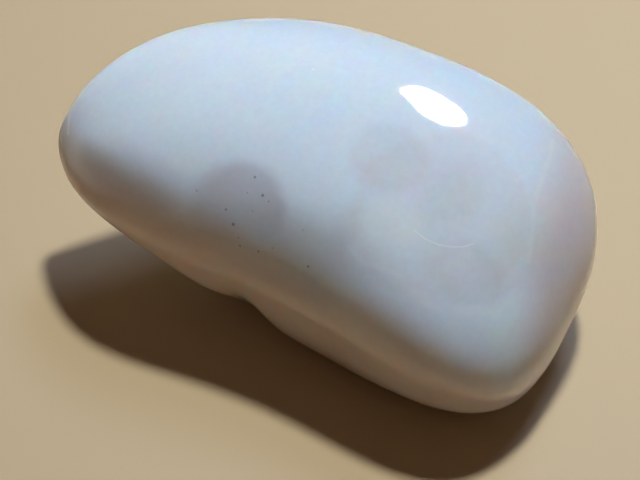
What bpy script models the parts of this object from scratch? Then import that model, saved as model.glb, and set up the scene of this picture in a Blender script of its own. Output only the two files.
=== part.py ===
"""A tumbled chalcedony, modelled as one closed solid.

Metres, +Z up. The stone rests on the flat patch worn into its underside. Its length runs
along X, from the narrow end at -X to the broad blunt end at +X, and the origin lies close
to the middle of its box, at the height of the surface that it rests on.

The form is a ball whose points are moved by a rule: each is squared off towards a rounded
box, then set between four sides that drift smoothly along the length, and rolled with them.
"""

from typing import NamedTuple

import bmesh
import bpy
import numpy as np

MM = 0.001

LENGTH = 36.0 * MM

# How square the cross sections are: 2 is an ellipse, and larger is closer to a box.
SQUARENESS_MIDDLE = 2.33
SQUARENESS_GROWTH = 0.52

# Height over which the rounded underside runs out into the flat patch that it rests on.
SEAT_BLEND = 0.8 * MM

# Each subdivision splits every triangle of the ball into four: this one gives 5,120.
BALL_SUBDIVISIONS = 5


class Station(NamedTuple):
    """Where the four sides stand at one place along the stone, and how far it is rolled."""

    along: float
    front: float
    back: float
    under: float
    crown: float
    roll: float


# Along is a share of half the length, roll is in degrees about X, and the rest are metres.
STATIONS = (
    Station(-1.0, -16.0 * MM, 3.1 * MM, 5.9 * MM, 14.7 * MM, 54.0),
    Station(-0.5, -12.6 * MM, 7.9 * MM, 4.15 * MM, 17.55 * MM, 18.0),
    Station(0.0, -10.05 * MM, 10.9 * MM, -2.05 * MM, 17.4 * MM, 17.4),
    Station(0.5, -11.35 * MM, 11.45 * MM, -1.75 * MM, 16.5 * MM, 16.6),
    Station(1.0, -14.4 * MM, 12.1 * MM, -1.55 * MM, 13.05 * MM, 21.0),
)


class Swell(NamedTuple):
    """A soft local change of the surface: a height above zero swells it, one below dents it."""

    centre: tuple
    reach: tuple
    height: float


# The short nick low on the front, where the outline steps in.
FRONT_NICK = Swell(
    centre=(-2.2 * MM, -9.4 * MM, 2.2 * MM),
    reach=(1.7 * MM, 3.0 * MM, 3.6 * MM),
    height=-0.8 * MM,
)
# The fuller belly that puts the resting patch under the stone's weight.
BELLY = Swell(
    centre=(-2.0 * MM, 2.25 * MM, 0.0),
    reach=(7.0 * MM, 6.0 * MM, 4.0 * MM),
    height=0.9 * MM,
)

# Milky blue grey with a wet polish. The colour is linear RGB.
STONE_COLOUR = (0.42, 0.49, 0.58, 1.0)
STONE_ROUGHNESS = 0.08
STONE_SUBSURFACE = 0.35
STONE_SUBSURFACE_RADIUS = (4.0, 3.0, 2.4)
STONE_IOR = 1.54


def along_stone(side, along):
    """Read one side of the stations at shares of the half length, on one smooth curve."""
    places = [station.along for station in STATIONS]
    values = [getattr(station, side) for station in STATIONS]
    return np.polyval(np.polyfit(places, values, len(STATIONS) - 1), along)


def squared_off(ball):
    """Move points of a round ball of radius 1 out onto a rounded box of half side 1."""
    power = (SQUARENESS_MIDDLE + SQUARENESS_GROWTH * ball[:, 0])[:, None]
    reach = (np.abs(ball) ** power).sum(axis=1, keepdims=True) ** (1.0 / power)
    return ball / reach


def set_between_sides(box):
    """Stretch the rounded box to the stone's sides at each place, and roll each section."""
    along = box[:, 0]
    front, back, under, crown = (
        along_stone(side, along) for side in ("front", "back", "under", "crown")
    )
    roll = np.radians(along_stone("roll", along))
    across = 0.5 * (back - front) * box[:, 1]
    upward = 0.5 * (crown - under) * box[:, 2]
    return np.column_stack((
        0.5 * LENGTH * along,
        0.5 * (front + back) + across * np.cos(roll) - upward * np.sin(roll),
        0.5 * (under + crown) + across * np.sin(roll) + upward * np.cos(roll),
    ))


def swelled(points, outward, swell):
    """How far one swell moves each point along its outward direction."""
    offset = (points - swell.centre) / swell.reach
    strength = np.exp(-(offset ** 2).sum(axis=1))
    return outward * (swell.height * strength)[:, None]


def seated(height):
    """Run the underside out smoothly into a truly flat patch at height zero."""
    blended = (height + SEAT_BLEND) ** 2 / (4.0 * SEAT_BLEND)
    raised = np.where(height >= SEAT_BLEND, height, blended)
    return np.where(height <= -SEAT_BLEND, 0.0, raised)


def stone_points(ball):
    """Turn points of a round ball of radius 1 into points on the stone's surface."""
    points = set_between_sides(squared_off(ball))
    points = points + sum(swelled(points, ball, swell) for swell in (FRONT_NICK, BELLY))
    points[:, 2] = seated(points[:, 2])
    return points


def stone_mesh():
    """Make the stone's mesh from a ball of near-equal triangles."""
    mesh = bpy.data.meshes.new("stone")
    shape = bmesh.new()
    bmesh.ops.create_icosphere(shape, subdivisions=BALL_SUBDIVISIONS, radius=1.0)
    ball = np.array([vert.co.normalized() for vert in shape.verts])
    for vert, place in zip(shape.verts, stone_points(ball)):
        vert.co = place
    bmesh.ops.recalc_face_normals(shape, faces=shape.faces)
    shape.to_mesh(mesh)
    shape.free()
    mesh.shade_smooth()
    return mesh


def stone_material():
    """Polished milky chalcedony: soft light inside, and a hard glossy surface."""
    material = bpy.data.materials.new("chalcedony")
    material.use_nodes = True
    shader = material.node_tree.nodes["Principled BSDF"]
    shader.inputs["Base Color"].default_value = STONE_COLOUR
    shader.inputs["Metallic"].default_value = 0.0
    shader.inputs["Roughness"].default_value = STONE_ROUGHNESS
    shader.inputs["IOR"].default_value = STONE_IOR
    shader.inputs["Subsurface Weight"].default_value = STONE_SUBSURFACE
    shader.inputs["Subsurface Radius"].default_value = STONE_SUBSURFACE_RADIUS
    shader.inputs["Subsurface Scale"].default_value = MM
    material.diffuse_color = STONE_COLOUR
    return material


def clear_scene():
    """Remove every object, so that the stone is all there is."""
    for item in list(bpy.data.objects):
        bpy.data.objects.remove(item, do_unlink=True)


def build():
    """Make the stone and put it into the scene."""
    clear_scene()
    stone = bpy.data.objects.new("stone", stone_mesh())
    stone.data.materials.append(stone_material())
    bpy.context.scene.collection.objects.link(stone)


build()
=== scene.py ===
"""Dress a tumbled chalcedony: milky, blue grey, cloudy and polished to a wet gloss.

Lengths are metres, +Z is up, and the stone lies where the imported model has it.
"""
import sys
import logging
from dataclasses import dataclass
from enum import Enum
from math import cos, radians, sin

import bpy
import numpy as np
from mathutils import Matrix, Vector


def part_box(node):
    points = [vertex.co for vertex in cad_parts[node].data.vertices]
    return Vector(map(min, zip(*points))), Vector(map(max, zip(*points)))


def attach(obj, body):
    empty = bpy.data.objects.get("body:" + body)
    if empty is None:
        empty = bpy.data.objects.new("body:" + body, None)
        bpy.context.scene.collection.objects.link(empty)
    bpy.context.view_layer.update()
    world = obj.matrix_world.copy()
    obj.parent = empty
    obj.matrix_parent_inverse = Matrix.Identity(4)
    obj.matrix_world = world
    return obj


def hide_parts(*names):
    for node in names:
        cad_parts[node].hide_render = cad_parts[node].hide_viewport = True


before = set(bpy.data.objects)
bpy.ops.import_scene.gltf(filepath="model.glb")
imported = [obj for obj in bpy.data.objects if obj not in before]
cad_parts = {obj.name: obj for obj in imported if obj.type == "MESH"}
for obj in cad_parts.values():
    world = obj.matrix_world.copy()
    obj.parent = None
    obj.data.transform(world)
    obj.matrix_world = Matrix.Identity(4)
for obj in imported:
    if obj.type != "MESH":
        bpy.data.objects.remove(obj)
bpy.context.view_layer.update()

MM = 0.001
NODE = "stone"

Triple = tuple[float, float, float]
Ramp = tuple[float, float]
Spot = tuple[float, float]

log = logging.getLogger("chalcedony")


class Sum(Enum):
    """The sums that a Math node can do, under the node's own names."""

    ADD = "ADD"
    SUBTRACT = "SUBTRACT"
    MULTIPLY = "MULTIPLY"
    DIVIDE = "DIVIDE"
    POWER = "POWER"
    MINIMUM = "MINIMUM"
    MAXIMUM = "MAXIMUM"
    ABSOLUTE = "ABSOLUTE"
    EXPONENT = "EXPONENT"
    SINE = "SINE"
    COSINE = "COSINE"
    TURN = "ARCTAN2"


class Step(Enum):
    """The steps that a Vector Math node can do, under the node's own names."""

    ADD = "ADD"
    SUBTRACT = "SUBTRACT"
    DIVIDE = "DIVIDE"
    SCALE = "SCALE"
    UNIT = "NORMALIZE"
    LENGTH = "LENGTH"
    DOT = "DOT_PRODUCT"


class Blend(Enum):
    """How one colour is laid over another, under the Mix node's own names."""

    COVER = "MIX"
    TINT = "MULTIPLY"


class Side(Enum):
    """What a station says about the stone at its place along the length."""

    FRONT = "front"
    BACK = "back"
    UNDER = "under"
    CROWN = "crown"
    ROLL = "roll"


class LampUse(Enum):
    """What a lamp does for the stone: light it, or show as a reflection in its polish."""

    LIGHT = "light"
    REFLECTION = "reflection"


def feed(tree: bpy.types.NodeTree, socket: bpy.types.NodeSocket, value: object) -> None:
    """Give an input socket its value, by a link or as a plain setting.

    Args:
        tree: The tree that holds the socket.
        socket: The input to fill.
        value: A Number, a Place or an output socket to link, or a plain value to set.
    """
    source = getattr(value, "socket", value)
    if isinstance(source, bpy.types.NodeSocket):
        tree.links.new(source, socket)
    else:
        socket.default_value = source


def node_in(
    tree: bpy.types.NodeTree, kind: str, inputs: dict, **settings: object,
) -> bpy.types.Node:
    """Add a node, with its settings made before its inputs are filled.

    Args:
        tree: The tree that gets the node.
        kind: The node's type name.
        inputs: Values by input name or number.
        **settings: The node's own properties.

    Returns:
        The new node.
    """
    node = tree.nodes.new(kind)
    for name, value in settings.items():
        setattr(node, name, value)
    for key, value in inputs.items():
        feed(tree, node.inputs[key], value)
    return node


@dataclass(frozen=True)
class Number:
    """A number that flows through a node tree and is written in ordinary sums.

    Attributes:
        tree: The tree that the sums are added to.
        socket: The output that gives the number.
    """

    tree: bpy.types.NodeTree
    socket: bpy.types.NodeSocket

    def worked(self, step: Sum, *others: "Number | float") -> "Number":
        """Put the number through one Math node.

        Args:
            step: The sum to do.
            *others: The sum's other terms.

        Returns:
            The result.
        """
        terms = dict(enumerate((self, *others)))
        node = node_in(self.tree, "ShaderNodeMath", terms, operation=step.value)
        return Number(self.tree, node.outputs[0])

    def __add__(self, other: "Number | float") -> "Number":
        """Add another number."""
        return self.worked(Sum.ADD, other)

    def __sub__(self, other: "Number | float") -> "Number":
        """Take another number away."""
        return self.worked(Sum.SUBTRACT, other)

    def __mul__(self, other: "Number | float") -> "Number":
        """Multiply by another number."""
        return self.worked(Sum.MULTIPLY, other)

    def __truediv__(self, other: "Number | float") -> "Number":
        """Divide by another number."""
        return self.worked(Sum.DIVIDE, other)

    def __pow__(self, other: "Number | float") -> "Number":
        """Raise to a power."""
        return self.worked(Sum.POWER, other)

    def __neg__(self) -> "Number":
        """Change the sign."""
        return self * -1.0

    def inverse(self) -> "Number":
        """One divided by the number."""
        return self ** -1.0

    def limited(self, low: float, high: float) -> "Number":
        """Keep the number between two limits."""
        return self.worked(Sum.MAXIMUM, low).worked(Sum.MINIMUM, high)

    def eased(self, start: "Number | float", end: "Number | float") -> "Number":
        """Rise smoothly from 0 at start to 1 at end, or fall where end is the smaller.

        Args:
            start: Where the result is 0.
            end: Where the result is 1.

        Returns:
            The eased share, from 0 to 1.
        """
        node = node_in(
            self.tree, "ShaderNodeMapRange",
            {"Value": self, "From Min": start, "From Max": end, "To Min": 0.0, "To Max": 1.0},
            interpolation_type="SMOOTHSTEP",
        )
        return Number(self.tree, node.outputs["Result"])

    def curve(self, coefficients: np.ndarray) -> "Number":
        """Read a polynomial of the number.

        Args:
            coefficients: The polynomial's coefficients, with the highest power's first.

        Returns:
            The polynomial's value.
        """
        result = self * float(coefficients[0]) + float(coefficients[1])
        for coefficient in coefficients[2:]:
            result = result * self + float(coefficient)
        return result


@dataclass(frozen=True)
class Waver:
    """One pattern of soft natural noise.

    Attributes:
        scale: How many times it varies over one mm.
        detail: How many finer octaves it has.
        seed: Which of the noise's patterns it is.
        roughness: How strong each finer octave is beside the one before.
    """

    scale: float
    detail: float
    seed: float
    roughness: float = 0.5


@dataclass(frozen=True)
class Place:
    """A point or a direction that flows through a node tree.

    Attributes:
        tree: The tree that the sums are added to.
        socket: The output that gives the point.
    """

    tree: bpy.types.NodeTree
    socket: bpy.types.NodeSocket

    @staticmethod
    def of(x: Number, y: Number, z: Number | float) -> "Place":
        """Join three numbers into one point."""
        node = node_in(x.tree, "ShaderNodeCombineXYZ", {0: x, 1: y, 2: z})
        return Place(x.tree, node.outputs[0])

    def parts(self) -> tuple[Number, Number, Number]:
        """Split the point into its three numbers."""
        node = node_in(self.tree, "ShaderNodeSeparateXYZ", {0: self})
        return tuple(Number(self.tree, output) for output in node.outputs)

    def worked(self, step: Step, *others: object) -> bpy.types.Node:
        """Put the point through one Vector Math node, and return the node."""
        terms = dict(enumerate((self, *others)))
        return node_in(self.tree, "ShaderNodeVectorMath", terms, operation=step.value)

    def __add__(self, other: "Place | Triple") -> "Place":
        """Add another point or offset."""
        return Place(self.tree, self.worked(Step.ADD, other).outputs[0])

    def __sub__(self, other: "Place | Triple") -> "Place":
        """Measure the point from another one."""
        return Place(self.tree, self.worked(Step.SUBTRACT, other).outputs[0])

    def __truediv__(self, other: "Place | Triple") -> "Place":
        """Divide each part by its own number."""
        return Place(self.tree, self.worked(Step.DIVIDE, other).outputs[0])

    def unit(self) -> "Place":
        """The direction of the point, with a length of 1."""
        return Place(self.tree, self.worked(Step.UNIT).outputs[0])

    def length(self) -> Number:
        """The distance to the origin."""
        return Number(self.tree, self.worked(Step.LENGTH).outputs["Value"])

    def dot(self, other: "Place | Triple") -> Number:
        """How far the point reaches along another direction."""
        return Number(self.tree, self.worked(Step.DOT, other).outputs["Value"])

    def scaled(self, factor: Number | float) -> "Place":
        """Make the point's distance longer or shorter.

        Args:
            factor: What the distance is multiplied by.

        Returns:
            The moved point.
        """
        node = self.worked(Step.SCALE)
        feed(self.tree, node.inputs["Scale"], factor)
        return Place(self.tree, node.outputs[0])

    def noise(self, waver: Waver) -> Number:
        """Read natural noise at the point.

        Args:
            waver: The noise's pattern.

        Returns:
            The noise, from about -0.5 to 0.5 with its middle at 0.
        """
        inputs = {
            "Vector": self,
            "W": waver.seed,
            "Scale": waver.scale,
            "Detail": waver.detail,
            "Roughness": waver.roughness,
        }
        node = node_in(self.tree, "ShaderNodeTexNoise", inputs, noise_dimensions="4D")
        return Number(self.tree, node.outputs[0]) - 0.5


@dataclass(frozen=True)
class Tint:
    """A colour that flows through a material's tree, and takes on other colours in turn.

    Attributes:
        tree: The material's tree.
        socket: The output that gives the colour.
    """

    tree: bpy.types.NodeTree
    socket: bpy.types.NodeSocket

    @staticmethod
    def plain(tree: bpy.types.NodeTree, colour: Triple) -> "Tint":
        """Start from one colour all over.

        Args:
            tree: The material's tree.
            colour: The colour, in linear RGB.

        Returns:
            The even colour.
        """
        node = tree.nodes.new("ShaderNodeRGB")
        node.outputs[0].default_value = (*colour, 1.0)
        return Tint(tree, node.outputs[0])

    def towards(self, colour: Triple, share: Number, blend: Blend = Blend.COVER) -> "Tint":
        """Mix in another colour.

        Args:
            colour: The colour to mix in.
            share: How much of it, from 0 to 1.
            blend: How it is laid over the colour so far.

        Returns:
            The mixed colour.
        """
        node = self.tree.nodes.new("ShaderNodeMix")
        node.data_type = "RGBA"
        node.blend_type = blend.value
        shown = {socket.name: socket for socket in node.inputs if socket.enabled}
        feed(self.tree, shown["Factor"], share)
        feed(self.tree, shown["A"], self)
        feed(self.tree, shown["B"], (*colour, 1.0))
        result = next(socket for socket in node.outputs if socket.enabled)
        return Tint(self.tree, result)


@dataclass(frozen=True)
class CloudAndPaintedLightPatch:
    """A cloudy zone inside the stone, which the polished surface cuts through, or a patch of
    painted shade or light laid on in the same way.

    Attributes:
        centre: The zone's middle, in mm.
        reach: Its half size along each axis, in mm.
        tint: What it multiplies the stone's colour by.
        edge: How soft its rim is, as a share of its reach.
        hollow: How much the zone clears towards its middle, from 0 to 1.
        open_side: The direction in which the zone runs out without a rim.
        opening: How far along open_side it has half run out, as a share of its reach.
        wobble: How far its rim wanders from a true ellipsoid, as a share of its reach.
        mottle: How unevenly its fine grains fill it, where 0 is evenly.
        seed: Which pattern the wandering follows.
        rim_scale: How many times the rim wanders in a mm.
        grain_scale: How many grains there are in a mm.
        fade: Half the width over which the open side runs out, as a share of its reach.
    """

    centre: Triple
    reach: Triple
    tint: Triple
    edge: float = 0.9
    hollow: float = 0.0
    open_side: Triple | None = None
    opening: float = 0.5
    wobble: float = 0.15
    mottle: float = 0.0
    seed: float = 0.0
    rim_scale: float = 0.35
    grain_scale: float = 2.2
    fade: float = 0.4

    def share(self, point: Place) -> Number:
        """How far inside the zone each point is.

        Args:
            point: The point on the surface, in mm.

        Returns:
            1 within the zone, falling to 0 across its rim.
        """
        inside = (point - self.centre) / self.reach
        wandering = point.noise(Waver(scale=self.rim_scale, detail=2.0, seed=self.seed))
        distance = inside.length() + wandering * (2.0 * self.wobble)
        share = distance.eased(1.0, 1.0 - self.edge)
        if self.hollow:
            clearing = distance.eased(1.0 - 0.5 * self.edge, 0.5 - 0.5 * self.edge)
            share = share * (clearing * -self.hollow + 1.0)
        if self.open_side:
            run = inside.dot(self.open_side)
            share = share * run.eased(self.opening + self.fade, self.opening - self.fade)
        if self.mottle:
            grains = point.noise(Waver(scale=self.grain_scale, detail=3.0, seed=self.seed))
            share = share * (grains * self.mottle + 1.0)
        return share


@dataclass(frozen=True)
class PaleLine:
    """A fine pale line on the surface, where a crack has healed, a worn edge runs or a glint is
    painted.

    Attributes:
        points: The spots that the line passes through, on the unrolled surface, in mm.
        width: The half width of the line, in mm.
        strength: How clearly it shows, from 0 to 1.
        softness: How far its edge fades to either side of the width, as a share of it.
    """

    points: tuple[Spot, ...]
    width: float
    strength: float
    softness: float = 0.6

    def share(self, unrolled: Place) -> Number:
        """How much of the line's colour each point has.

        Args:
            unrolled: The point on the unrolled surface, in mm.

        Returns:
            The line's strength on it, falling to 0 beside it.
        """
        nearest = None
        for start, end in zip(self.points, self.points[1:]):
            run = Vector((*end, 0.0)) - Vector((*start, 0.0))
            from_start = unrolled - (*start, 0.0)
            along = (from_start.dot(tuple(run)) / run.length_squared).limited(0.0, 1.0)
            line = node_in(
                unrolled.tree, "ShaderNodeVectorMath", {0: tuple(run), "Scale": along},
                operation=Step.SCALE.value,
            )
            distance = (from_start - Place(unrolled.tree, line.outputs[0])).length()
            nearest = distance if nearest is None else nearest.worked(Sum.MINIMUM, distance)
        fade = self.softness * self.width
        return nearest.eased(self.width + fade, self.width - fade) * self.strength


@dataclass(frozen=True)
class Speck:
    """A grain of dark or pale mineral that the polish has cut through.

    Attributes:
        spot: Where it lies on the unrolled surface, in mm.
        radius: Its size, in mm.
        strength: How clearly it shows, from 0 to 1.
        softness: How far its edge fades to either side of the radius, as a share of it.
    """

    spot: Spot
    radius: float
    strength: float
    softness: float = 0.5

    def share(self, unrolled: Place) -> Number:
        """How much of the grain's colour each point has.

        Args:
            unrolled: The point on the unrolled surface, in mm.

        Returns:
            The grain's strength on it, falling to 0 around it.
        """
        distance = (unrolled - (*self.spot, 0.0)).length()
        fade = self.softness * self.radius
        return distance.eased(self.radius + fade, self.radius - fade) * self.strength


@dataclass(frozen=True)
class PolishedChalcedony:
    """The stone's finish: milky and cloudy inside, with a hard wet polish.

    Colours are linear RGB, and lengths are mm. A ramp says where a colour starts to come in and
    where it is all there, along its slope. Lines and grains lie on the surface unrolled round the
    stone's length: a spot is how far along X it is, and how far round from the crown to the front.

    Attributes:
        milk: The ground colour at the narrow end.
        lavender: The ground colour at the broad end.
        lavender_ramp: Where the lavender comes in, along X.
        lavender_drift: How far the clouds carry its border.
        back_violet: What the back multiplies the ground colour by.
        back_ramp: Where it comes in, along Y.
        mauve: The colour of the broad end's face, darker there as painted shade where it turns from
            the light.
        mauve_share: How much of it shows there.
        end_slope: The direction in which the mauve comes in.
        mauve_ramp: Where it comes in.
        painted_warm_shade: What the painted warm shade on the low front flank multiplies the colour
            by.
        flank_slope: The direction that falls towards the low front flank.
        flank_ramp: Where the painted warm shade comes in.
        flank_drift: How far the clouds carry its border.
        pale_line: The colour of healed cracks, worn edges, the painted glint at the narrow tip and
            the pale grain.
        dark_grain: The colour of the dark grains.
        brightening: What the fine clouds multiply the colour by where they are thickest.
        brightening_ramp: Between which values of the noise they thicken.
        cloud: The broad clouds that carry the borders.
        fine_cloud: The fine clouds in the ground.
        roughness: The polish's roughness.
        polish_change: How much the roughness changes from place to place.
        polish: Where it changes.
        relief_height: How high the finest unevenness is.
        relief_strength: How much of it shows.
        unevenness: The pattern of that unevenness.
        index: The refractive index.
        scatter_share: How much of the light goes in under the polish.
        scatter_reach: How far red, green and blue light spread inside.
        patches: The cloudy zones, and the patches of painted shade and light.
        lines: The fine pale lines.
        grains: The dark grains.
        pale_grain: The one pale grain on the crown.
        unrolling_height: The height of the line that the surface is unrolled round.
        unrolling_radius: The distance from that line at which the unrolled lengths are true.
    """

    milk: Triple = (0.60, 0.725, 0.88)
    lavender: Triple = (0.58, 0.705, 0.865)
    lavender_ramp: Ramp = (-8.0, 10.0)
    lavender_drift: float = 5.0
    back_violet: Triple = (0.90, 0.93, 0.965)
    back_ramp: Ramp = (0.5, 5.0)
    mauve: Triple = (0.56, 0.50, 0.55)
    mauve_share: float = 0.7
    end_slope: Triple = (1.0, 0.30, 0.0)
    mauve_ramp: Ramp = (13.2, 16.6)
    painted_warm_shade: Triple = (1.0, 0.72, 0.56)
    flank_slope: Triple = (0.10, 1.0, 0.63)
    flank_ramp: Ramp = (-1.1, -5.4)
    flank_drift: float = 1.5
    pale_line: Triple = (0.80, 0.86, 0.93)
    dark_grain: Triple = (0.060, 0.052, 0.060)
    brightening: Triple = (1.05, 1.05, 1.05)
    brightening_ramp: Ramp = (-0.3, 0.3)
    cloud: Waver = Waver(scale=0.12, detail=3.0, seed=7.0)
    fine_cloud: Waver = Waver(scale=2.4, detail=3.0, seed=8.0)
    roughness: float = 0.045
    polish_change: float = 0.03
    polish: Waver = Waver(scale=0.6, detail=3.0, seed=9.0)
    relief_height: float = 0.05
    relief_strength: float = 0.12
    unevenness: Waver = Waver(scale=1.2, detail=3.0, seed=10.0)
    index: float = 1.54
    scatter_share: float = 1.0
    scatter_reach: Triple = (2.0, 1.0, 0.6)
    unrolling_height: float = 6.0
    unrolling_radius: float = 10.5
    patches: tuple[CloudAndPaintedLightPatch, ...] = (
        # The round lilac cloud on the left, and the darker ring inside its border.
        CloudAndPaintedLightPatch(
            (-2.1, -9.2, 12.6), (4.0, 3.6, 3.6), (0.85, 0.80, 0.79),
            edge=0.45, open_side=(0.3, -0.5, -0.8), opening=0.15, wobble=0.08, seed=1.0,
        ),
        CloudAndPaintedLightPatch(
            (-1.9, -9.0, 12.9), (3.7, 3.7, 3.7), (0.83, 0.79, 0.80), edge=0.3,
            hollow=1.0, open_side=(-0.25, -0.8, -0.8), opening=-0.3, wobble=0.10, seed=1.0,
        ),
        # The haze that runs on from it towards the middle.
        CloudAndPaintedLightPatch((3.3, -8.9, 12.6), (5.8, 2.8, 2.8), (0.83, 0.80, 0.77), seed=6.0),
        CloudAndPaintedLightPatch((4.9, -7.7, 14.0), (1.5, 2.6, 2.6), (0.92, 0.90, 0.88), seed=11.0),
        # The shade under the narrow end's crown, as far as the tip.
        CloudAndPaintedLightPatch((-10.5, -9.4, 12.9), (6.5, 2.2, 2.2), (0.77, 0.75, 0.75), seed=9.0),
        CloudAndPaintedLightPatch((-11.6, -9.9, 12.0), (9.0, 2.6, 1.8), (0.72, 0.65, 0.56), seed=12.0),
        CloudAndPaintedLightPatch((-17.0, -7.4, 10.6), (3.6, 3.4, 2.6), (0.74, 0.69, 0.67), seed=15.0),
        # Painted shade low on the front, a painted sheen on the back rim, painted light low on the
        # broad end, and the broad end's tones.
        # painted shade in the dark band just below the lit crown
        CloudAndPaintedLightPatch((2.2, -10.2, 9.5), (8.5, 2.2, 1.8), (0.86, 0.85, 0.89), seed=13.0),
        # a painted bluish sheen along the back rim, standing for its pale reflection
        CloudAndPaintedLightPatch((4.5, 8.2, 15.2), (10.0, 3.6, 3.6), (1.0, 1.04, 1.14), seed=16.0),
        # painted light low on the broad end, where light from the floor falls
        CloudAndPaintedLightPatch((16.4, -6.0, 9.6), (2.6, 4.0, 2.8), (1.07, 1.12, 1.14), seed=14.0),
        CloudAndPaintedLightPatch((14.8, -3.0, 12.8), (4.0, 4.8, 3.6), (0.95, 0.92, 0.87), seed=10.0),
        # The large round zone on the right, with its lobe, its core and its low side.
        CloudAndPaintedLightPatch(
            (9.9, -4.3, 14.6), (6.0, 6.0, 6.0), (0.98, 0.95, 0.935),
            edge=0.12, mottle=1.5, seed=2.0,
        ),
        CloudAndPaintedLightPatch(
            (5.5, -2.9, 16.1), (3.0, 2.7, 2.7), (0.93, 0.905, 0.89),
            edge=0.35, wobble=0.06, mottle=1.2, seed=3.0,
        ),
        CloudAndPaintedLightPatch(
            (9.8, -3.2, 15.0), (2.8, 3.8, 3.4), (0.91, 0.905, 0.885),
            edge=0.7, mottle=1.2, seed=4.0,
        ),
        CloudAndPaintedLightPatch(
            (12.9, -6.2, 12.8), (4.2, 2.5, 2.5), (0.91, 0.90, 0.885),
            edge=0.5, hollow=0.3, mottle=1.2, seed=7.0,
        ),
        # The paler gap in that zone.
        CloudAndPaintedLightPatch(
            (7.2, -6.5, 14.3), (2.8, 2.4, 2.6), (1.03, 1.045, 1.0), edge=0.6, seed=5.0,
        ),
    )
    lines: tuple[PaleLine, ...] = (
        # The healed crack in the round zone.
        PaleLine(
            ((8.8, 6.6), (9.6, 6.85), (10.5, 6.85), (11.2, 6.65), (11.8, 6.3), (12.2, 5.8)),
            0.045, 0.45,
        ),
        # The worn edge between the crown and the broad end, with a scratch beside it.
        PaleLine(
            ((13.0, -5.9), (13.5, -4.0), (13.8, -1.9), (14.1, -0.2), (14.7, 1.9), (15.3, 4.8)),
            0.16, 0.14,
        ),
        PaleLine(((12.6, -0.5), (13.0, -1.9)), 0.10, 0.15),
        # The round zone's pale border, low on the front and along the broad end.
        PaleLine(((5.5, 9.1), (6.8, 9.6), (9.2, 9.5)), 0.14, 0.10),
        PaleLine(
            ((10.3, 10.2), (11.6, 10.4), (13.2, 10.3), (14.8, 9.8), (15.6, 7.9)),
            0.30, 0.12,
        ),
        # The narrow tip's worn edge, with a painted glint along it, and a faint scratch along the
        # crown.
        PaleLine(((-17.0, 8.2), (-16.7, 9.0), (-16.3, 9.8)), 0.12, 0.45),
        PaleLine(((-4.7, 0.8), (-2.1, -0.6), (0.1, -1.0)), 0.10, 0.10),
    )
    grains: tuple[Speck, ...] = (
        Speck((-1.7, 7.4), 0.08, 0.55),
        Speck((-0.8, 8.2), 0.09, 0.6),
        Speck((-0.3, 8.4), 0.06, 0.4),
        Speck((-2.8, 9.8), 0.08, 0.5),
        Speck((-1.1, 9.3), 0.06, 0.3),
        Speck((-2.1, 10.5), 0.10, 0.6),
        Speck((-1.8, 8.4), 0.05, 0.35),
        Speck((-1.6, 11.2), 0.06, 0.35),
        Speck((-1.4, 11.7), 0.07, 0.45),
        Speck((-0.1, 11.6), 0.08, 0.5),
        Speck((0.8, 11.0), 0.06, 0.3),
        Speck((3.4, 11.2), 0.09, 0.5),
        Speck((2.4, 9.2), 0.06, 0.3),
        Speck((-5.0, 9.4), 0.07, 0.35),
    )
    pale_grain: Speck = Speck((-1.9, -0.2), 0.09, 0.6)

    def material(self) -> bpy.types.Material:
        """Build the stone's material.

        Returns:
            The finished material.
        """
        made = bpy.data.materials.new("polished_chalcedony")
        made.use_nodes = True
        tree = made.node_tree
        shader = tree.nodes["Principled BSDF"]
        coordinates = tree.nodes.new("ShaderNodeTexCoord")
        point = Place(tree, coordinates.outputs["Object"]).scaled(1.0 / MM)
        feed(tree, shader.inputs["Base Color"], self.colour(point))
        feed(tree, shader.inputs["Roughness"], self.gloss(point))
        feed(tree, shader.inputs["Normal"], self.relief(point))
        shader.inputs["IOR"].default_value = self.index
        shader.inputs["Subsurface Weight"].default_value = self.scatter_share
        shader.inputs["Subsurface Radius"].default_value = self.scatter_reach
        shader.inputs["Subsurface Scale"].default_value = MM
        return made

    def colour(self, point: Place) -> Tint:
        """Lay the milky ground, the cloudy zones, the painted shade and light, and the fine marks
        over each other.

        Args:
            point: The point on the surface, in mm.

        Returns:
            The stone's colour there.
        """
        along, across, _ = point.parts()
        cloud = point.noise(self.cloud)
        fine = point.noise(self.fine_cloud)
        drifted = along + cloud * self.lavender_drift
        end = point.dot(self.end_slope) + cloud
        # How far down towards the low front flank, where the warm shade is painted.
        rise = point.dot(self.flank_slope) + cloud * self.flank_drift
        tint = Tint.plain(point.tree, self.milk)
        tint = tint.towards(self.lavender, drifted.eased(*self.lavender_ramp))
        tint = tint.towards(self.back_violet, across.eased(*self.back_ramp), Blend.TINT)
        # A mauve tone on the broad end's face, darkened as painted shade where it turns from the
        # light.
        tint = tint.towards(self.mauve, end.eased(*self.mauve_ramp) * self.mauve_share)
        tint = tint.towards(self.brightening, fine.eased(*self.brightening_ramp), Blend.TINT)
        # Painted warm shade on the low front flank, where warm light from the floor falls in the
        # shade.
        tint = tint.towards(self.painted_warm_shade, rise.eased(*self.flank_ramp), Blend.TINT)
        # The cloudy zones, and the patches of painted shade and light.
        for patch in self.patches:
            tint = tint.towards(patch.tint, patch.share(point), Blend.TINT)
        unrolled = self.unrolled(point)
        for line in self.lines:
            tint = tint.towards(self.pale_line, line.share(unrolled))
        for grain in self.grains:
            tint = tint.towards(self.dark_grain, grain.share(unrolled))
        return tint.towards(self.pale_line, self.pale_grain.share(unrolled))

    def unrolled(self, point: Place) -> Place:
        """Unroll the surface round the stone's length.

        Args:
            point: The point on the surface, in mm.

        Returns:
            How far along the stone it is, how far round from the crown to the front, and zero.
        """
        along, across, height = point.parts()
        turn = (-across).worked(Sum.TURN, height - self.unrolling_height)
        return Place.of(along, turn * self.unrolling_radius, 0.0)

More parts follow.
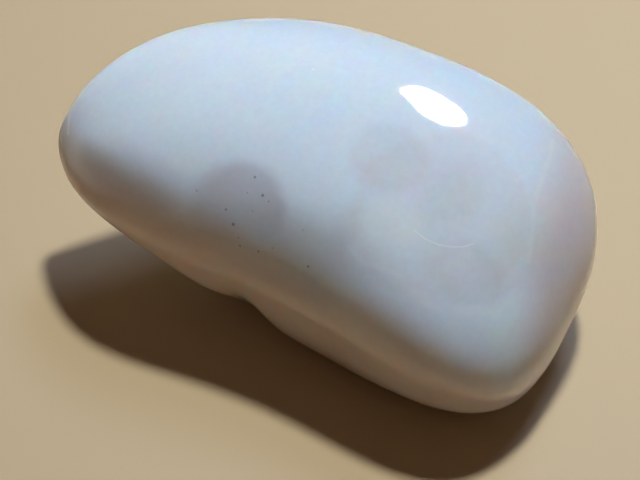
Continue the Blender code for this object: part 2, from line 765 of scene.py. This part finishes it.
    def gloss(self, point: Place) -> Number:
        """Vary the polish a little from place to place."""
        return point.noise(self.polish) * self.polish_change + self.roughness

    def relief(self, point: Place) -> bpy.types.NodeSocket:
        """Leave the finest unevenness of a tumbled polish on the surface.

        Args:
            point: The point on the surface, in mm.

        Returns:
            The output that gives the surface's direction there.
        """
        inputs = {
            "Height": point.noise(self.unevenness),
            "Strength": self.relief_strength,
            "Distance": self.relief_height * MM,
        }
        return node_in(point.tree, "ShaderNodeBump", inputs).outputs["Normal"]


@dataclass(frozen=True)
class Station:
    """Where the stone's four sides stand at one place along its length.

    Attributes:
        along: The place, as a share of half the length, from the narrow end at -1.
        front: The front side's y, in mm.
        back: The back side's y, in mm.
        under: The underside's z, in mm.
        crown: The crown's z, in mm.
        roll: How far the section is rolled about X, in degrees.
    """

    along: float
    front: float
    back: float
    under: float
    crown: float
    roll: float


@dataclass(frozen=True)
class Swell:
    """A soft local swelling of the surface, or a dent where its height is below zero.

    Attributes:
        centre: Its middle, in mm.
        reach: How far it spreads along each axis, in mm.
        height: How far it moves the surface, in mm.
    """

    centre: Triple
    reach: Triple
    height: float

    def move(self, point: Place, outward: Place) -> Place:
        """How far the swelling moves each point.

        Args:
            point: The point on the surface, in mm.
            outward: The direction away from the stone's middle.

        Returns:
            The offset to add to the point, in mm.
        """
        nearness = ((point - self.centre) / self.reach).length() ** 2.0
        return outward.scaled((-nearness).worked(Sum.EXPONENT) * self.height)


@dataclass
class TumbledStone:
    """The whole stone: one smooth body, shaped by a rule from a round ball.

    Attributes:
        length: The stone's length, in metres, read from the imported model.
        finish: The stone's finish.
        squareness_middle: How square the sections are: 2 is an ellipse.
        squareness_growth: How much squarer they get towards the broad end.
        seat_blend: The height over which the underside runs out into its flat patch, in mm.
        wave_height: How far the polished surface waves in and out, in mm.
        waves: The pattern of those waves.
        ball_detail: How often the ball's triangles are split.
        stations: The sides at five places along the length.
        swells: The local swellings and dents.
    """

    length: float
    finish: PolishedChalcedony
    squareness_middle: float = 2.33
    squareness_growth: float = 0.52
    seat_blend: float = 0.8
    wave_height: float = 0.10
    waves: Waver = Waver(scale=0.16, detail=1.5, seed=3.0)
    ball_detail: int = 7
    stations: tuple[Station, ...] = (
        Station(-1.0, -16.0, 3.1, 5.9, 14.7, 54.0),
        Station(-0.5, -12.6, 7.9, 4.15, 17.55, 18.0),
        Station(0.0, -10.05, 10.9, -2.05, 17.4, 17.4),
        Station(0.5, -11.35, 11.45, -1.75, 16.5, 16.6),
        Station(1.0, -14.4, 12.1, -1.55, 13.05, 21.0),
    )
    swells: tuple[Swell, ...] = (
        Swell((-2.2, -9.4, 2.2), (1.7, 3.0, 3.6), -0.8),
        Swell((-2.0, 2.25, 0.0), (7.0, 6.0, 4.0), 0.9),
    )

    def side(self, side: Side, along: Number) -> Number:
        """Read one side of the stations on a smooth curve along the stone.

        Args:
            side: Which side to read.
            along: The place along the stone, as a share of half its length.

        Returns:
            The side's height or place there.
        """
        places = [station.along for station in self.stations]
        values = [getattr(station, side.value) for station in self.stations]
        return along.curve(np.polyfit(places, values, len(self.stations) - 1))

    def squared_off(self, ball: Place, middle: Number, growth: Number) -> Place:
        """Move a point of the round ball out onto a rounded box of half side 1.

        Args:
            ball: The point on the ball.
            middle: The squareness halfway along.
            growth: The squareness gained towards the broad end.

        Returns:
            The point on the rounded box.
        """
        parts = ball.parts()
        power = parts[0] * growth + middle
        reach = None
        for part in parts:
            term = part.worked(Sum.ABSOLUTE) ** power
            reach = term if reach is None else reach + term
        return ball.scaled((reach ** power.inverse()).inverse())

    def set_between_sides(self, box: Place, half_length: Number) -> Place:
        """Stretch the rounded box to the stone's sides, and roll each section.

        Args:
            box: The point on the rounded box.
            half_length: Half the stone's length, in mm.

        Returns:
            The point on the stone, in mm.
        """
        along, sideways, upwards = box.parts()
        front, back = self.side(Side.FRONT, along), self.side(Side.BACK, along)
        under, crown = self.side(Side.UNDER, along), self.side(Side.CROWN, along)
        roll = self.side(Side.ROLL, along) * radians(1.0)
        turn_cos, turn_sin = roll.worked(Sum.COSINE), roll.worked(Sum.SINE)
        across = (back - front) * 0.5 * sideways
        rise = (crown - under) * 0.5 * upwards
        return Place.of(
            along * half_length,
            (front + back) * 0.5 + across * turn_cos - rise * turn_sin,
            (under + crown) * 0.5 + across * turn_sin + rise * turn_cos,
        )

    def seated(self, point: Place, blend: Number) -> Place:
        """Run the underside out smoothly into a truly flat patch at height zero.

        Args:
            point: The point on the stone, in mm.
            blend: The height over which it runs out, in mm.

        Returns:
            The point, raised to the resting surface where it was below.
        """
        x, y, z = point.parts()
        near = z.worked(Sum.MAXIMUM, -blend).worked(Sum.MINIMUM, blend)
        eased = (near + blend) ** 2.0 / (blend * 4.0)
        return Place.of(x, y, eased + (z - blend).worked(Sum.MAXIMUM, 0.0))

    def tree(self) -> tuple[bpy.types.NodeTree, dict[str, object]]:
        """Build the Geometry Nodes tree that shapes the stone.

        Returns:
            The tree, and the values of its named inputs.
        """
        tree = bpy.data.node_groups.new("tumbled_stone", "GeometryNodeTree")
        sizes = {
            "Half Length": (0.5 * self.length / MM, "NodeSocketFloat"),
            "Squareness Middle": (self.squareness_middle, "NodeSocketFloat"),
            "Squareness Growth": (self.squareness_growth, "NodeSocketFloat"),
            "Seat Blend": (self.seat_blend, "NodeSocketFloat"),
            "Wave Height": (self.wave_height, "NodeSocketFloat"),
            "Ball Detail": (self.ball_detail, "NodeSocketInt"),
            "Finish": (self.finish.material(), "NodeSocketMaterial"),
        }
        tree.interface.new_socket("Geometry", in_out="OUTPUT", socket_type="NodeSocketGeometry")
        values = {}
        for name, (value, kind) in sizes.items():
            socket = tree.interface.new_socket(name, in_out="INPUT", socket_type=kind)
            values[socket.identifier] = value
        given = tree.nodes.new("NodeGroupInput").outputs

        def size(name: str) -> Number:
            """Read one of the tree's named sizes."""
            return Number(tree, given[name])

        ball = node_in(
            tree, "GeometryNodeMeshIcoSphere",
            {"Radius": 1.0, "Subdivisions": given["Ball Detail"]},
        )
        outward = Place(tree, tree.nodes.new("GeometryNodeInputPosition").outputs[0]).unit()
        box = self.squared_off(outward, size("Squareness Middle"), size("Squareness Growth"))
        point = self.set_between_sides(box, size("Half Length"))
        offset = outward.scaled(point.noise(self.waves) * size("Wave Height") * 2.0)
        for swell in self.swells:
            offset = offset + swell.move(point, outward)
        point = self.seated(point + offset, size("Seat Blend")).scaled(MM)
        placed = node_in(
            tree, "GeometryNodeSetPosition",
            {"Geometry": ball.outputs["Mesh"], "Position": point},
        )
        smooth = node_in(tree, "GeometryNodeSetShadeSmooth", {"Geometry": placed.outputs[0]})
        real = node_in(tree, "GeometryNodeRealizeInstances", {"Geometry": smooth.outputs[0]})
        dressed = node_in(
            tree, "GeometryNodeSetMaterial",
            {"Geometry": real.outputs[0], "Material": given["Finish"]},
        )
        out = tree.nodes.new("NodeGroupOutput")
        tree.links.new(dressed.outputs[0], out.inputs["Geometry"])
        return tree, values

    def build(self) -> bpy.types.Object:
        """Shape the stone and dress it.

        Returns:
            The stone, as a plain mesh in its place.
        """
        tree, values = self.tree()
        return plain_piece("polished_stone", tree, values)


def plain_piece(name: str, tree: bpy.types.NodeTree, values: dict[str, object]) -> bpy.types.Object:
    """Run a Geometry Nodes tree once, and keep its result as a plain mesh.

    Args:
        name: The new piece's name.
        tree: The tree that makes it.
        values: The tree's inputs, by socket identifier.

    Returns:
        The piece, at the origin, with no modifier on it.
    """
    carrier = bpy.data.objects.new(name + "_carrier", bpy.data.meshes.new(name + "_carrier"))
    bpy.context.scene.collection.objects.link(carrier)
    modifier = carrier.modifiers.new("shape", "NODES")
    modifier.node_group = tree
    for identifier, value in values.items():
        modifier[identifier] = value
    depsgraph = bpy.context.evaluated_depsgraph_get()
    mesh = bpy.data.meshes.new_from_object(carrier.evaluated_get(depsgraph), depsgraph=depsgraph)
    bpy.data.objects.remove(carrier, do_unlink=True)
    mesh.name = name
    piece = bpy.data.objects.new(name, mesh)
    bpy.context.scene.collection.objects.link(piece)
    return piece


def bearing(azimuth: float, elevation: float) -> Vector:
    """The direction towards a place around the stone.

    Args:
        azimuth: Degrees around the stone, where 0 is on its front side at -Y.
        elevation: Degrees above the floor.

    Returns:
        A direction of length 1.
    """
    turn, rise = radians(azimuth), radians(elevation)
    return Vector((sin(turn) * cos(rise), -cos(turn) * cos(rise), sin(rise)))


@dataclass(frozen=True)
class Lamp:
    """One soft studio lamp, aimed at the stone.

    Attributes:
        name: What the lamp is for.
        azimuth: Degrees around the stone.
        elevation: Degrees above the floor.
        distance: Metres from the stone.
        size: The width and height of its face, in metres.
        power: Watts.
        colour: Linear RGB.
        use: Whether it lights the stone or shows as a reflection in the polish.
        spin: Degrees that the face is turned about the lamp's own aim.
    """

    name: str
    azimuth: float
    elevation: float
    distance: float
    size: tuple[float, float]
    power: float
    colour: Triple
    use: LampUse
    spin: float = 0.0

    def build(self, target: Vector) -> bpy.types.Object:
        """Hang the lamp and aim it.

        Args:
            target: The point that it is aimed at.

        Returns:
            The lamp.
        """
        light = bpy.data.lights.new(self.name, "AREA")
        light.shape = "ELLIPSE"
        light.size, light.size_y = self.size
        light.energy = self.power
        light.color = self.colour
        lamp = bpy.data.objects.new(self.name, light)
        direction = bearing(self.azimuth, self.elevation)
        lamp.location = target + direction * self.distance
        lamp.rotation_euler = direction.to_track_quat("Z", "Y").to_euler()
        lamp.rotation_euler.rotate_axis("Z", radians(self.spin))
        lamp.visible_glossy = self.use is LampUse.REFLECTION
        lamp.visible_diffuse = self.use is LampUse.LIGHT
        bpy.context.scene.collection.objects.link(lamp)
        return lamp


@dataclass(frozen=True)
class Studio:
    """The plain pale floor, the soft light over it and the still air around it.

    Attributes:
        floor_half: Half the floor's side, in metres.
        floor_drop: How far the floor lies under the stone, in metres.
        floor_colour: Linear RGB.
        floor_roughness: How matt the floor is.
        air_colour: The colour of the light from all around, linear RGB.
        air_strength: How strong that light is.
        lamps: The lamps over the floor.
    """

    floor_half: float = 1.5
    floor_drop: float = 0.02 * MM
    floor_colour: Triple = (0.465, 0.365, 0.225)
    floor_roughness: float = 0.7
    air_colour: Triple = (1.0, 0.66, 0.44)
    air_strength: float = 0.115
    lamps: tuple[Lamp, ...] = (
        Lamp(
            "key", azimuth=184.0, elevation=72.8, distance=0.26, size=(0.026, 0.026),
            power=0.69, colour=(0.96, 0.99, 1.0), use=LampUse.LIGHT,
        ),
        Lamp(
            "key_reflection", azimuth=181.5, elevation=56.5, distance=0.8, size=(0.30, 0.175),
            power=12.1, colour=(0.95, 0.99, 1.0), use=LampUse.REFLECTION, spin=-57.0,
        ),
        Lamp(
            "end_sheen", azimuth=248.0, elevation=6.0, distance=0.8, size=(0.5, 0.3),
            power=0.35, colour=(0.35, 0.75, 1.25), use=LampUse.REFLECTION,
        ),
    )

    def floor(self) -> bpy.types.Object:
        """Lay the plain pale floor.

        Returns:
            The floor.
        """
        half, low = self.floor_half, -self.floor_drop
        mesh = bpy.data.meshes.new("floor")
        corners = [(-half, -half, low), (half, -half, low), (half, half, low), (-half, half, low)]
        mesh.from_pydata(corners, [], [(0, 1, 2, 3)])
        paint = bpy.data.materials.new("pale_floor")
        paint.use_nodes = True
        shader = paint.node_tree.nodes["Principled BSDF"]
        shader.inputs["Base Color"].default_value = (*self.floor_colour, 1.0)
        shader.inputs["Roughness"].default_value = self.floor_roughness
        mesh.materials.append(paint)
        floor = bpy.data.objects.new("floor", mesh)
        bpy.context.scene.collection.objects.link(floor)
        return floor

    def air(self) -> None:
        """Fill the air with an even, dim light."""
        world = bpy.data.worlds.new("air")
        world.use_nodes = True
        background = world.node_tree.nodes["Background"]
        background.inputs["Color"].default_value = (*self.air_colour, 1.0)
        background.inputs["Strength"].default_value = self.air_strength
        bpy.context.scene.world = world

    def build(self, target: Vector) -> bpy.types.Object:
        """Set the studio up around the stone.

        Args:
            target: The point that the lamps are aimed at.

        Returns:
            The floor.
        """
        self.air()
        for lamp in self.lamps:
            lamp.build(target)
            log.info("lamp %s", lamp.name)
        return self.floor()


@dataclass(frozen=True)
class StillCamera:
    """The camera, at the angle from which the stone was photographed.

    Attributes:
        azimuth: Degrees around the stone.
        elevation: Degrees above the floor.
        distance: Metres from its target.
        lens: The focal length on a sensor 36 mm wide, in mm.
        target: The point at the middle of the picture.
    """

    azimuth: float = 30.0
    elevation: float = 48.0
    distance: float = 0.105
    lens: float = 85.0
    target: Triple = (-0.25 * MM, -1.75 * MM, 4.2 * MM)

    def build(self) -> bpy.types.Object:
        """Set the camera up and look through it.

        Returns:
            The camera.
        """
        data = bpy.data.cameras.new("still_camera")
        data.lens = self.lens
        data.clip_start = 0.1 * self.distance
        camera = bpy.data.objects.new("still_camera", data)
        direction = bearing(self.azimuth, self.elevation)
        camera.location = Vector(self.target) + direction * self.distance
        camera.rotation_euler = direction.to_track_quat("Z", "Y").to_euler()
        bpy.context.scene.collection.objects.link(camera)
        bpy.context.scene.camera = camera
        return camera


def main() -> None:
    """Build the stone, its studio and the camera, and report each."""
    logging.basicConfig(level=logging.INFO, format="%(name)s: %(message)s", stream=sys.stdout)
    scene = bpy.context.scene
    scene.view_settings.view_transform = "Standard"
    low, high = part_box(NODE)

    StillCamera().build()
    log.info("camera set")

    stone = TumbledStone(length=high.x - low.x, finish=PolishedChalcedony()).build()
    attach(stone, "root")
    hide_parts(NODE)
    log.info("stone: %d faces", len(stone.data.polygons))

    middle = (low + high) * 0.5
    Studio().build(middle)
    log.info("studio set")


if __name__ == "__main__":
    main()
